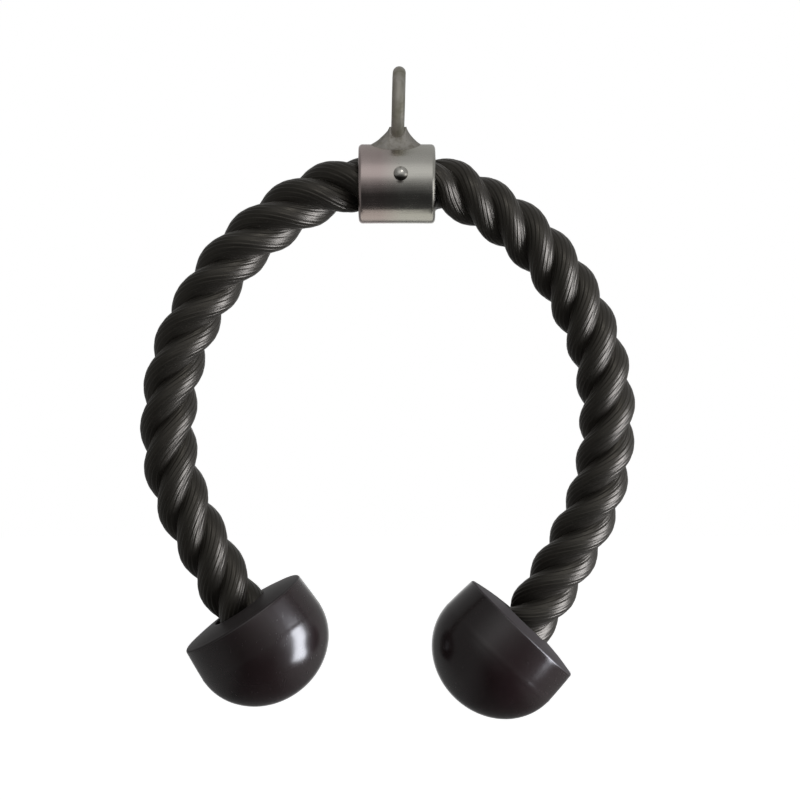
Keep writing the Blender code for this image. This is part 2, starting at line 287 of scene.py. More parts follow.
# The room's level by pitch in degrees: floor behind, floor in front, front, ceiling in front and behind
room_levels = (
    *((-180, 0.22), (-130, 0.09), (-95, 0.06)),
    *((-84, 0.055), (-74, 0.045), (-64, 0.032), (-34, 0.026)),
    *((-14, 0.12), (-3, 0.21), (8, 0.38)),
    *((22, 0.72), (44, 0.67), (62, 0.42), (90, 0.36)),
    *((130, 0.40), (160, 0.36), (180, 0.22)),
)


def placed(name, data):
    """A new object in the scene."""
    obj = bpy.data.objects.new(name, data)
    bpy.context.scene.collection.objects.link(obj)
    return obj


# Camera
def make_camera():
    data = bpy.data.cameras.new("photo_camera")
    data.sensor_width = sensor_width
    data.lens = sensor_width * camera_distance / picture_width
    camera = placed("photo_camera", data)
    camera.location = picture_centre - Vector((0, camera_distance, 0))
    camera.rotation_euler = (math.pi / 2, 0, 0)
    bpy.context.scene.camera = camera


# Mesh helpers
def surface(name, rows, closed=False, start_cap=False, end_cap=False, form=None):
    """A mesh over rows of points, each row a closed ring; closed joins the last row to the first."""
    rows = np.asarray(rows, float)
    count, width = rows.shape[:2]
    index = np.arange(count * width).reshape(count, width)
    after = np.roll(index, -1, axis=0) if closed else index[1:]
    here = index if closed else index[:-1]
    quads = np.stack((here, np.roll(here, -1, axis=1), np.roll(after, -1, axis=1), after), axis=-1)
    faces = quads.reshape(-1, 4).tolist()
    if start_cap:
        faces.append(index[0][::-1].tolist())
    if end_cap:
        faces.append(index[-1].tolist())
    mesh = bpy.data.meshes.new(name)
    mesh.from_pydata(rows.reshape(-1, 3).tolist(), [], faces)
    shape_form = rows if form is None else np.asarray(form, float)
    attribute = mesh.attributes.new("form", "FLOAT_VECTOR", "POINT")
    attribute.data.foreach_set("vector", shape_form.reshape(-1).astype(np.float32))
    shape = bmesh.new()
    shape.from_mesh(mesh)
    bmesh.ops.remove_doubles(shape, verts=shape.verts[:], dist=merge_distance)
    bmesh.ops.recalc_face_normals(shape, faces=shape.faces[:])
    if shape.calc_volume(signed=True) < 0:
        bmesh.ops.reverse_faces(shape, faces=shape.faces[:])
    shape.to_mesh(mesh)
    shape.free()
    mesh.shade_smooth()
    return placed(name, mesh)


def finish_piece(obj, body, nodes, finish, sharp=None):
    if sharp:
        obj.data.set_sharp_from_angle(angle=math.radians(sharp))
    obj.data.materials.clear()
    obj.data.materials.append(finish)
    if body:
        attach(obj, body)
    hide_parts(*nodes)
    return obj


def arc(centre, radii, start, end, count):
    """Points (radius, height) on an ellipse's arc, both ends included; radii is one radius or two."""
    across, along = radii if isinstance(radii, tuple) else (radii, radii)
    turns = (start + (end - start) * i / count for i in range(count + 1))
    return [(centre[0] + across * math.cos(t), centre[1] + along * math.sin(t)) for t in turns]


def filled(outline, longest):
    """The outline with extra points along its long straight stretches."""
    made = [outline[0]]
    for here, there in zip(outline, outline[1:]):
        span = math.dist(here, there)
        parts = max(1, math.ceil(span / longest))
        for k in range(1, parts + 1):
            share = k / parts
            made.append(tuple(a + (b - a) * share for a, b in zip(here, there)))
    return made


def turned(name, outline, location, rotation, steps=turn_steps, closed=False, wobble=None):
    """Turns an outline of (radius, height) round the local Z axis, and puts it in place."""
    angles = np.linspace(0, 2 * math.pi, steps, endpoint=False)
    profile = np.array(outline, float)
    radii = profile[:, 0][:, None] * np.ones_like(angles)
    heights = profile[:, 1][:, None] * np.ones_like(angles)
    if wobble is not None:
        extra_radius, extra_height = wobble(radii, heights, angles[None, :])
        radii = radii + extra_radius
        heights = heights + extra_height
    local = np.stack((radii * np.cos(angles), radii * np.sin(angles), heights), axis=-1)
    matrix = np.array(rotation.to_matrix())
    world = local @ matrix.T + np.array(location)
    return surface(name, world, closed=closed, form=local)


def cut_out(obj, cutter):
    """Takes the cutter's solid away from the object, and removes the cutter."""
    modifier = obj.modifiers.new("Cut", "BOOLEAN")
    modifier.operation = "DIFFERENCE"
    modifier.solver = "EXACT"
    modifier.object = cutter
    bpy.context.view_layer.update()
    made = bpy.data.meshes.new_from_object(obj.evaluated_get(bpy.context.evaluated_depsgraph_get()))
    obj.modifiers.clear()
    obj.data = made
    bpy.data.objects.remove(cutter, do_unlink=True)


def rod_cutter(radius, length, location, rotation):
    outline = [(0, length / 2), (radius, length / 2), (radius, -length / 2), (0, -length / 2)]
    return turned("cutter", outline, location, rotation, cutter_steps)


def washer(name, hole, edge, low, thickness, soft, location, rotation, steps):
    """A flat ring with softened outer edges."""
    high = low + thickness
    outline = [(hole, high), (hole, low)]
    outline += arc((edge - soft, low + soft), soft, -math.pi / 2, 0, edge_steps)
    outline += arc((edge - soft, high - soft), soft, 0, math.pi / 2, edge_steps)
    return turned(name, outline, location, rotation, steps, closed=True)


def along(direction):
    """The turn that brings the local Z axis onto a direction."""
    return Vector(direction).to_track_quat("Z", "Y")


def eased(share):
    """A share held between 0 and 1, with soft ends."""
    share = min(1.0, max(0.0, share))
    return share * share * (3 - 2 * share)


def distances_along(path):
    return np.concatenate([[0], np.cumsum(np.linalg.norm(np.diff(path, axis=0), axis=1))])


# Node helpers
def set_inputs(node, **values):
    """Sets inputs by name, with an underscore for each space."""
    for name, value in values.items():
        node.inputs[name.replace("_", " ")].default_value = value


class Nodes:
    """A material's or world's node tree, with short ways to add and join nodes."""

    def __init__(self, tree):
        self.tree = tree
        self.tree.nodes.clear()

    def add(self, kind, **settings):
        node = self.tree.nodes.new("ShaderNode" + kind)
        for name, value in settings.items():
            setattr(node, name, value)
        return node

    def link(self, source, target):
        self.tree.links.new(source, target)

    def put(self, target, value):
        if isinstance(value, bpy.types.NodeSocket):
            self.link(value, target)
        else:
            target.default_value = value

    def math(self, operation, *values):
        node = self.add("Math", operation=operation)
        for socket, value in zip(node.inputs, values):
            self.put(socket, value)
        return node.outputs[0]

    def scaled(self, vector, scale, shift=(0, 0, 0)):
        node = self.add("VectorMath", operation="MULTIPLY_ADD")
        self.put(node.inputs[0], vector)
        node.inputs[1].default_value = scale
        node.inputs[2].default_value = shift
        return node.outputs[0]

    def spot(self, vector, centre, radii):
        """1 at the centre, 0 from the radii outwards; a radius of None leaves that axis out."""
        scale = [0.0 if radius is None else 1 / radius for radius in radii]
        shift = [-value * share for value, share in zip(centre, scale)]
        node = self.add("VectorMath", operation="LENGTH")
        self.link(self.scaled(vector, scale, shift), node.inputs[0])
        return self.spread(node.outputs["Value"], 1.0, 0.35)

    def noise(self, vector, scale, detail=3.0, roughness=0.5, distortion=0.0):
        node = self.add("TexNoise")
        self.link(vector, node.inputs["Vector"])
        set_inputs(node, Scale=scale, Detail=detail, Roughness=roughness, Distortion=distortion)
        return node.outputs["Fac"]

    def ramp(self, factor, stops):
        """Grey levels between stops of (position, level)."""
        node = self.add("ValToRGB")
        self.link(factor, node.inputs["Fac"])
        elements = node.color_ramp.elements
        while len(elements) > 1:
            elements.remove(elements[-1])
        for i, (position, level) in enumerate(stops):
            element = elements[0] if i == 0 else elements.new(position)
            element.position = position
            element.color = (level, level, level, 1)
        return node.outputs["Color"]

    def spread(self, factor, low, high, to_low=0.0, to_high=1.0):
        """The factor from low to high, spread over to_low to to_high and held there."""
        node = self.add("MapRange")
        self.put(node.inputs["Value"], factor)
        set_inputs(node, From_Min=low, From_Max=high, To_Min=to_low, To_Max=to_high)
        return node.outputs["Result"]

    def varied(self, noise, low, high):
        """A noise's middle range, spread over low to high."""
        return self.spread(noise, 0.3, 0.7, low, high)

    def mix(self, factor, first, second):
        node = self.add("Mix", data_type="RGBA")
        self.put(node.inputs["Factor"], factor)
        for socket, value in zip((node.inputs[6], node.inputs[7]), (first, second)):
            self.put(socket, (*value, 1) if isinstance(value, tuple) else value)
        return node.outputs[2]

    def bump(self, height, distance, strength=1.0, normal=None):
        node = self.add("Bump")
        self.link(height, node.inputs["Height"])
        set_inputs(node, Distance=distance, Strength=strength)
        if normal is not None:
            self.link(normal, node.inputs["Normal"])
        return node.outputs["Normal"]

    def form(self):
        """A point's place along and across its piece, which stays as it is when the piece bends."""
        return self.add("Attribute", attribute_name="form").outputs["Vector"]

    def place(self):
        return self.add("TexCoord").outputs["Object"]

    def apart(self, vector):
        node = self.add("SeparateXYZ")
        self.link(vector, node.inputs[0])
        return node.outputs


def material(name):
    made = bpy.data.materials.new(name)
    made.use_nodes = True
    nodes = Nodes(made.node_tree)
    shader = nodes.add("BsdfPrincipled")
    output = nodes.add("OutputMaterial")
    nodes.link(shader.outputs[0], output.inputs["Surface"])
    return made, nodes, shader


# Materials
def rope_material():
    """Black filament yarn: satin strands, fine fibres along them, a little dust and fading."""
    made, nodes, shader = material("rope_yarn")
    form = nodes.form()
    fibres = nodes.noise(nodes.scaled(form, (2600, 70, 900)), 1.0, 3.0, 0.6)
    streaks = nodes.noise(nodes.scaled(form, (700, 28, 900)), 1.0, 2.0, 0.5)
    patches = nodes.noise(nodes.place(), 38.0, 3.0, 0.55)
    across = nodes.apart(form)["X"]
    yarn = nodes.math("SINE", nodes.math("MULTIPLY", across, 2 * math.pi / yarn_pitch * 2))
    tone = nodes.math("ADD", nodes.math("MULTIPLY", streaks, 0.6), nodes.math("MULTIPLY", fibres, 0.4))
    dark = nodes.mix(patches, (0.0062, 0.0052, 0.0044), (0.0062, 0.0060, 0.0048))
    light = nodes.mix(patches, (0.0135, 0.0118, 0.0094), (0.0130, 0.0124, 0.0096))
    nodes.link(nodes.mix(nodes.spread(tone, 0.35, 0.68), dark, light), shader.inputs["Base Color"])
    nodes.link(nodes.varied(tone, 0.42, 0.29), shader.inputs["Roughness"])
    coarse = nodes.bump(yarn, 0.00005, 0.6)
    middle = nodes.bump(streaks, 0.00018, 0.6, coarse)
    nodes.link(nodes.bump(fibres, 0.00010, 0.6, middle), shader.inputs["Normal"])
    set_inputs(shader, Specular_IOR_Level=0.56, Specular_Tint=(1.0, 0.93, 0.82, 1))
    set_inputs(shader, Sheen_Weight=0.08, Sheen_Roughness=0.4, Sheen_Tint=(1.0, 0.92, 0.82, 1))
    return made


def plated_material(name, grain, dullness=0.0):
    """Bright plating over steel, with fine lines along the grain, clouding, small pits and heat tint by the
    weld; a painted reflection tints the left side and a painted shadow lies under the rivet.
    """
    made, nodes, shader = material(name)
    form = nodes.form()
    place = nodes.place()
    lines = nodes.noise(nodes.scaled(form, grain), 1.0, 3.0, 0.65)
    clouds = nodes.noise(place, 85.0, 4.0, 0.6, 0.6)
    pits = nodes.noise(place, 900.0, 2.0, 0.5)
    x, y, z = nodes.apart(place)
    # Painted reflection: the plating's left side is tinted brown-mauve, as if it mirrored something warm
    # there.
    left = nodes.spread(x, 0.003, -0.009)
    plain = nodes.mix(clouds, (0.57, 0.555, 0.505), (0.67, 0.655, 0.605))
    warm = nodes.mix(left, plain, nodes.mix(clouds, (0.51, 0.425, 0.405), (0.61, 0.520, 0.500)))
    above = nodes.spread(z, collar_centre.z + 0.014, collar_centre.z + 0.024)
    near = nodes.spread(nodes.math("ABSOLUTE", x), 0.020, 0.009)
    tint = nodes.math("MULTIPLY", nodes.math("MULTIPLY", above, near), nodes.spread(clouds, 0.35, 0.65))
    burnt = nodes.mix(tint, warm, (0.36, 0.345, 0.27))
    specks = nodes.spread(pits, 0.72, 0.82, 0.0, 0.6)
    # Painted shadow: a dark spot on the front of the plating just under the rivet head, where the head's
    # shade falls.
    rivet_shadow_centre = rivet_centre + Vector((-0.0004, 0, collar_radius * math.sin(rivet_tilt) - 0.0042))
    painted_rivet_shadow = nodes.math(
        "MULTIPLY",
        nodes.spot(place, rivet_shadow_centre, (0.0024, None, 0.0014)),
        nodes.spread(y, -0.012, -0.018, 0.0, 0.85),
    )
    # The real pits and the painted shadow darken the plating together and make it a little rougher.
    pits_and_painted_shadow = nodes.math("MAXIMUM", specks, painted_rivet_shadow)
    nodes.link(nodes.mix(pits_and_painted_shadow, burnt, (0.10, 0.09, 0.08)), shader.inputs["Base Color"])
    satin = nodes.varied(lines, 0.13 + dullness, 0.24 + dullness)
    rough = nodes.math("ADD", satin, nodes.varied(clouds, 0.0, 0.10))
    nodes.link(nodes.math("ADD", rough, nodes.math("MULTIPLY", pits_and_painted_shadow, 0.3)), shader.inputs["Roughness"])
    low = nodes.bump(lines, 0.000012, 0.8)
    nodes.link(nodes.bump(clouds, 0.00005, 0.35, low), shader.inputs["Normal"])
    set_inputs(shader, Metallic=1.0)
    return made


def rivet_material():
    """A plated head, satin, with painted shade darkening its lower front towards the collar."""
    made, nodes, shader = material("rivet_plating")
    place = nodes.place()
    _, y, z = nodes.apart(place)
    grain = nodes.noise(place, 700.0, 3.0, 0.6)
    clouds = nodes.noise(place, 260.0, 3.0, 0.55, 0.5)
    metal = nodes.mix(clouds, (0.58, 0.565, 0.52), (0.68, 0.665, 0.62))
    # Painted shade: the head's lower front is darkened to near black, the shade under the dome, and made a
    # little rougher.
    painted_shade_top = collar_centre.z + collar_radius * math.sin(rivet_tilt) - 0.0006
    low = nodes.math("ADD", z, nodes.varied(clouds, -0.0003, 0.0003))
    front = nodes.spread(y, -0.0196, -0.0204)
    painted_shade = nodes.math("MULTIPLY", nodes.spread(low, painted_shade_top, painted_shade_top - 0.0013), front)
    nodes.link(nodes.mix(painted_shade, metal, (0.05, 0.045, 0.04)), shader.inputs["Base Color"])
    rough = nodes.math("ADD", nodes.varied(grain, 0.24, 0.34), nodes.math("MULTIPLY", painted_shade, 0.3))
    nodes.link(rough, shader.inputs["Roughness"])
    nodes.link(nodes.bump(grain, 0.00002, 0.6), shader.inputs["Normal"])
    set_inputs(shader, Metallic=1.0)
    return made


def weld_material():
    """Plated over weld metal: rougher, with spatter, dark soot specks and straw heat tint."""
    made, nodes, shader = material("weld_bead")
    place = nodes.place()
    grit = nodes.noise(place, 1500.0, 3.0, 0.65)
    lumps = nodes.noise(place, 420.0, 3.0, 0.6)
    clouds = nodes.noise(place, 130.0, 3.0, 0.55, 0.8)
    metal = nodes.mix(clouds, (0.40, 0.38, 0.345), (0.50, 0.48, 0.44))
    tinted = nodes.mix(nodes.spread(lumps, 0.48, 0.72, 0.0, 0.7), metal, (0.30, 0.275, 0.22))
    sooty = nodes.mix(nodes.spread(grit, 0.58, 0.75, 0, 0.6), tinted, (0.17, 0.15, 0.13))
    nodes.link(sooty, shader.inputs["Base Color"])
    nodes.link(nodes.varied(lumps, 0.40, 0.58), shader.inputs["Roughness"])
    low = nodes.bump(lumps, 0.00012, 0.5)
    nodes.link(nodes.bump(grit, 0.00003, 0.6, low), shader.inputs["Normal"])
    set_inputs(shader, Metallic=1.0)
    return made


def zinc_material(name):
    """Bright zinc: spangled tone, dull and fine-grained."""
    made, nodes, shader = material(name)
    place = nodes.place()
    cells = nodes.add("TexVoronoi", feature="F1")
    nodes.link(place, cells.inputs["Vector"])
    set_inputs(cells, Scale=520.0)
    spangle = nodes.math("FRACT", nodes.math("MULTIPLY", cells.outputs["Distance"], 3.0))
    grain = nodes.noise(place, 1300.0, 3.0, 0.6)
    stain = nodes.noise(place, 160.0, 3.0, 0.6)
    base = nodes.mix(spangle, (0.47, 0.48, 0.50), (0.60, 0.61, 0.63))
    stained = nodes.mix(nodes.spread(stain, 0.5, 0.75, 0, 0.6), base, (0.40, 0.385, 0.34))
    nodes.link(stained, shader.inputs["Base Color"])
    nodes.link(nodes.varied(grain, 0.30, 0.48), shader.inputs["Roughness"])
    nodes.link(nodes.bump(grain, 0.00003, 0.5), shader.inputs["Normal"])
    set_inputs(shader, Metallic=1.0)
    return made


def rubber_material(name, bloom):
    """Glossy moulded rubber with a hazy bloom: orange peel, scuffs and dust, matt on the rope side."""
    made, nodes, shader = material(name)
    place = nodes.place()
    clouds = nodes.noise(place, 48.0, 3.0, 0.55, 0.5)
    peel = nodes.noise(place, 430.0, 2.0, 0.5)
    fine = nodes.noise(place, 2600.0, 2.0, 0.6)
    scuffs = nodes.noise(nodes.scaled(place, (900, 120, 260)), 1.0, 3.0, 0.7, 0.4)
    warm = nodes.mix(clouds, (0.0110, 0.0046, 0.0058), (0.0084, 0.0052, 0.0044))
    dusty = nodes.mix(nodes.spread(fine, 0.64, 0.84, 0, 0.3), warm, (0.022, 0.020, 0.018))
    nodes.link(dusty, shader.inputs["Base Color"])
    gloss = nodes.varied(clouds, 0.19, 0.24)
    face = nodes.spread(nodes.apart(nodes.form())["Z"], 0.0012, 0.0002, 0.0, 0.7)
    worn = nodes.math("ADD", nodes.spread(scuffs, 0.60, 0.75, 0.0, 0.10), face)
    nodes.link(nodes.math("ADD", gloss, worn), shader.inputs["Roughness"])
    low = nodes.bump(peel, 0.00006, 0.35)
    nodes.link(nodes.bump(scuffs, 0.00001, 0.5, low), shader.inputs["Normal"])
    set_inputs(shader, Specular_IOR_Level=0.60, Coat_Weight=bloom, Coat_Roughness=0.36, Coat_IOR=1.45)
    return made


def melted_material():
    """Rope end fused by heat: smooth, glossy, uneven black plastic."""
    made, nodes, shader = material("fused_tip")
    place = nodes.place()
    clouds = nodes.noise(place, 300.0, 3.0, 0.6, 0.7)
    fine = nodes.noise(place, 1500.0, 2.0, 0.5)
    nodes.link(nodes.mix(clouds, (0.010, 0.009, 0.009), (0.034, 0.028, 0.024)), shader.inputs["Base Color"])
    nodes.link(nodes.varied(clouds, 0.18, 0.5), shader.inputs["Roughness"])
    nodes.link(nodes.bump(fine, 0.0001, 0.4), shader.inputs["Normal"])
    return made


# Rope
def crown_height(radius):
    """How far the domed rope side of a stopper stands out of its rim's plane at a radius."""
    return stopper_crown * (1 - (radius / crown_reach) ** 2)


def aim(sign, dip, lean):
    """A unit vector that points down by dip, inwards across the arch, and back by lean."""
    level = math.cos(lean)
    return Vector((-sign * math.cos(dip) * level, math.sin(lean), -math.sin(dip) * level))


def from_mouth(sign, out, back=0, up=0):
    """A point given outwards, back and up from an arm's pivot in the collar's mouth."""
    pivot = collar_centre + Vector((sign * mouth_pivot_offset, 0, 0))
    return pivot + Vector((sign * out, back, up))


def smooth_route(points, start_direction, end_direction, step):
    """Even points on a smooth curve through the route's points, with a set direction at both ends."""
    knots = np.array([tuple(point) for point in points])
    spans = np.linalg.norm(np.diff(knots, axis=0), axis=1)
    slopes = np.zeros_like(knots)
    for i in range(1, len(knots) - 1):
        before = (knots[i] - knots[i - 1]) / spans[i - 1]
        after = (knots[i + 1] - knots[i]) / spans[i]
        slopes[i] = (before * spans[i] + after * spans[i - 1]) / (spans[i] + spans[i - 1])
    slopes[0] = np.array(start_direction)
    slopes[-1] = np.array(end_direction)
    dense = [knots[0]]
    for i, span in enumerate(spans):
        for k in range(1, route_steps + 1):
            t = k / route_steps
            dense.append(
                (2 * t**3 - 3 * t**2 + 1) * knots[i]
                + (t**3 - 2 * t**2 + t) * span * slopes[i]
                + (3 * t**2 - 2 * t**3) * knots[i + 1]
                + (t**3 - t**2) * span * slopes[i + 1]
            )
    dense = np.array(dense)
    travelled = distances_along(dense)
    count = max(2, round(travelled[-1] / step))
    pits_and_painted_shadow = np.linspace(0, travelled[-1], count + 1)
    return np.array([[np.interp(mark, travelled, dense[:, k]) for k in range(3)] for mark in pits_and_painted_shadow])


def arm_path(sign, route, stopper_dip, lean):
    """The rope's centreline from inside the collar to just inside the stopper."""
    start = collar_centre + Vector((sign * (rope_middle_half + seat_gap), 0, 0))
    end_direction = aim(sign, stopper_dip, lean)
    knots = [start, from_mouth(sign, -mouth_settle)] + [from_mouth(sign, *point) for point in route]
    knots.append(knots[-1] + end_direction * arm_tuck)
    return smooth_route(knots, Vector((sign, 0, 0)), end_direction, rope_ring_spacing)


def strand_points():
    """Angles round one strand's own centre, from one crease to the next, the last left out."""
    reach = math.pi / 3 + math.asin(math.sqrt(3) / 2 * strand_centre_radius / strand_radius)
    return np.linspace(-reach, reach, strand_facets, endpoint=False), reach


def slow_wave(distance, strand, seed):
    """Smooth unevenness along a strand, between about -1 and 1."""
    return sum(
        share * math.sin(2 * math.pi * distance / pitch + strand_shift * strand + wave_shift * k + seed)
        for k, (pitch, share) in enumerate(strand_waves)
    )


def laid_rings(path, lay, phase, seed):
    """Rings of the laid rope round a path, with each point's place across and along its strand."""
    tangents = np.gradient(path, axis=0)
    tangents /= np.linalg.norm(tangents, axis=1)[:, None]
    front = np.array([0.0, -1.0, 0.0]) + tangents * tangents[:, 1][:, None]
    front /= np.linalg.norm(front, axis=1)[:, None]
    side = np.cross(tangents, front)
    around, reach = strand_points()
    window = np.clip((reach - np.abs(around)) / crease_fade, 0, 1)
    strand_rise = math.sqrt(1 + (2 * math.pi * strand_centre_radius / lay) ** 2)
    rings = []
    forms = []
    for ring, distance in enumerate(distances_along(path)):
        row = []
        form_row = []
        run = distance * strand_rise
        across = strand_radius * around + math.tan(yarn_slant) * run
        ridge = yarn_relief * np.cos(2 * math.pi * across / yarn_pitch) * window
        for strand in range(3):
            turn = phase + 2 * math.pi * (distance / lay + strand / 3)
            swell = strand_unevenness * slow_wave(run, strand, seed) * window
            radius = strand_radius + ridge + swell
            local_x = strand_centre_radius + radius * np.cos(around)
            local_y = radius * np.sin(around)
            out = local_x * math.cos(turn) - local_y * math.sin(turn)
            over = local_x * math.sin(turn) + local_y * math.cos(turn)
            row.append(path[ring] + out[:, None] * front[ring] + over[:, None] * side[ring])
            form_row.append(np.stack(np.broadcast_arrays(across, run, strand), axis=-1))
        rings.append(np.concatenate(row))
        forms.append(np.concatenate(form_row))
    return np.array(rings), np.array(forms)


def rope_arm(side, sign, route, stopper_dip, lean, lay, phase, finish):
    """One free arm, from inside the collar to just inside its stopper. Returns its length."""
    path = arm_path(sign, route, stopper_dip, lean)
    rings, forms = laid_rings(path, lay, phase, arm_seeds[sign > 0])
    obj = surface("rope_" + side, rings, start_cap=True, end_cap=True, form=forms)
    finish_piece(obj, None, ("rope_arm_" + side, "rope_root_" + side), finish, sharp=60)
    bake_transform(obj)
    length = float(distances_along(path)[-1])
    return length


def rope_middle(finish):
    """The riveted stretch inside the collar."""
    ends = [collar_centre + Vector((x, 0, 0)) for x in (-rope_middle_half, rope_middle_half)]
    path = np.linspace(tuple(ends[0]), tuple(ends[1]), middle_rings)
    rings, forms = laid_rings(path, left_lay, left_phase, middle_seed)
    obj = surface("rope_middle_strands", rings, start_cap=True, end_cap=True, form=forms)
    cut_out(obj, rivet_cutter(3 * rope_radius))
    finish_piece(obj, "collar", ("rope_middle",), finish, sharp=60)


# Collar, eye, weld and rivet
def rivet_cutter(length):
    return rod_cutter(rivet_radius + rivet_hole_clearance, length, rivet_centre, along(rivet_direction))


def collar(finish):
    half = collar_length / 2
    outer_centre = (collar_radius - collar_outer_round, half - collar_outer_round)
    inner_centre = (bore_radius + collar_inner_round, half - collar_inner_round)
    outer = arc(outer_centre, collar_outer_round, math.pi / 2, 0, collar_outer_steps)
    inner = arc(inner_centre, collar_inner_round, math.pi, math.pi / 2, collar_inner_steps)
    lower_outer = [(radius, -height) for radius, height in reversed(outer)]
    lower_inner = [(radius, -height) for radius, height in reversed(inner)]
    outline = filled(outer + lower_outer, outline_spacing) + filled(lower_inner + inner, bore_spacing)

    def wobble(radii, heights, angles):
        slow = np.sin(2 * angles + 0.7) * np.cos(heights * 95 + 0.5)
        finer = np.sin(5 * angles + heights * 210) * np.cos(3 * angles - heights * 160 + 1.1)
        return collar_swell * slow + collar_ripple * finer, collar_end_wave * np.sin(3 * angles + 0.4)

    tube = turned("collar", outline, collar_centre, along((1, 0, 0)), closed=True, wobble=wobble)
    cut_out(tube, rivet_cutter(3 * collar_radius))
    return finish_piece(tube, "collar", ("collar_tube",), finish, sharp=40)


def eye(finish):
    """A bent rod, a little uneven, worn flatter inside its top where the hook bears."""
    turns = np.linspace(-math.pi / 2, 1.5 * math.pi, ring_steps, endpoint=False)
    around = np.linspace(0, 2 * math.pi, rod_steps, endpoint=False)
    rows = []
    forms = []
    for turn in turns:
        uneven = rod_swell_share * np.sin(3 * turn + 0.5) + rod_ripple_share * np.sin(7 * turn + around)
        wear = eye_hook_wear * max(0.0, math.sin(turn)) ** 8 * np.clip(-np.cos(around), 0, 1) ** 3
        rod = eye_rod_radius * (1 + uneven) - wear
        reach = eye_mean_radius * (1 + eye_oval_share * math.sin(2 * turn + 1.0)) + rod * np.cos(around)
        x = rod * np.sin(around)
        rows.append(np.stack((x, reach * math.cos(turn), reach * math.sin(turn)), axis=-1))
        straight = np.full_like(around, eye_mean_radius * turn)
        forms.append(np.stack((rod * np.cos(around), rod * np.sin(around), straight), axis=-1))
    foot = np.array(collar_centre + Vector((0, 0, collar_radius)))
    lean = np.array(Matrix.Rotation(eye_lean, 3, "Y"))
    rows = (np.array(rows) + np.array(eye_centre) - foot) @ lean.T + foot
    ring = surface("eye", rows + np.array((eye_side_step, 0, 0)), closed=True, form=forms)
    return finish_piece(ring, "collar", ("eye_ring",), finish)


def weld_section(y):
    """At a distance y from the eye's middle: heights of collar, top and middle, share of the end, feather."""
    surface_height = math.sqrt(collar_radius**2 - y**2)
    ring_line = eye_height - math.sqrt(eye_mean_radius**2 - y**2)
    climb = eased(abs(y) / weld_end_start)
    top = collar_radius + weld_top + weld_top_climb * climb
    feather = weld_feather * (1 - climb)
    end = max(0.0, (abs(y) - weld_end_start) / (weld_half_depth - weld_end_start))
    opening_line = eye_height - math.sqrt((eye_opening / 2) ** 2 - y**2)
    top = min(top, opening_line - feather - weld_opening_room)
    top = surface_height + (top - surface_height) * (1 - end) ** weld_end_power
    return surface_height, top, min(ring_line, top), end, feather


def weld(finish):
    """The bead round the eye's foot: concave flanks that climb the rod, rounded toes front and back."""
    rows = []
    for i in range(weld_stations + 1):
        y = -weld_half_depth * weld_depth_share * math.cos(math.pi * i / weld_stations)
        surface_height, top, middle, end, feather = weld_section(y)
        width_share = (1 - abs(y / weld_half_depth) ** weld_plan_power) ** (1 / weld_plan_power)
        toe = eased((end - weld_toe_start) / weld_toe_span)
        row = []
        for sign, reach in ((1, weld_reach_right), (-1, weld_reach_left)):
            uneven = weld_edge_swell * math.sin(y * 700 + sign) + weld_edge_ripple * math.sin(y * 1700)
            foot = reach * width_share * (1 + uneven)
            shoulder = min(weld_shoulder, weld_shoulder_share * foot)
            flank = []
            for k in range(weld_flank_steps + 1):
                share = k / weld_flank_steps
                x = shoulder + (foot - shoulder) * (1 - share) ** weld_flank_power
                bell = (1 - (x / foot) ** 2) ** weld_toe_power
                rise = (1 - toe) * share + toe * bell
                ripple = 0.0
                if 0 < share < 1:
                    crescent = y / ripple_pitch - ripple_curve * (1 - share) ** 2 * sign
                    ripple = ripple_height * math.sin(2 * math.pi * crescent) * math.sin(math.pi * share)
                z = surface_height - weld_sink + (top - surface_height + weld_sink) * rise
                aside = weld_neck_shift * (1 - toe) * share
                flank.append((sign * (x + ripple_spread * ripple * (1 - toe)) + aside, y, z + ripple))
            for part, climbed, dip in weld_crest:
                x = shoulder * part
                inside = top + feather * climbed + (middle - top) * dip
                bell = (1 - (x / foot) ** 2) ** weld_toe_power
                z = (1 - toe) * inside + toe * (surface_height + (top - surface_height) * bell)
                aside = weld_neck_shift * (1 - toe) * min(1, 2 * part)
                flank.append((sign * x + aside, y, z))
            row.append(flank if sign > 0 else flank[:-1][::-1])
        right, left = row
        rows.append(np.array(right + left) + np.array(collar_centre))
    bead = surface("weld_bead", rows, start_cap=True, end_cap=True)
    return finish_piece(bead, "collar", ("eye_weld",), finish, sharp=60)


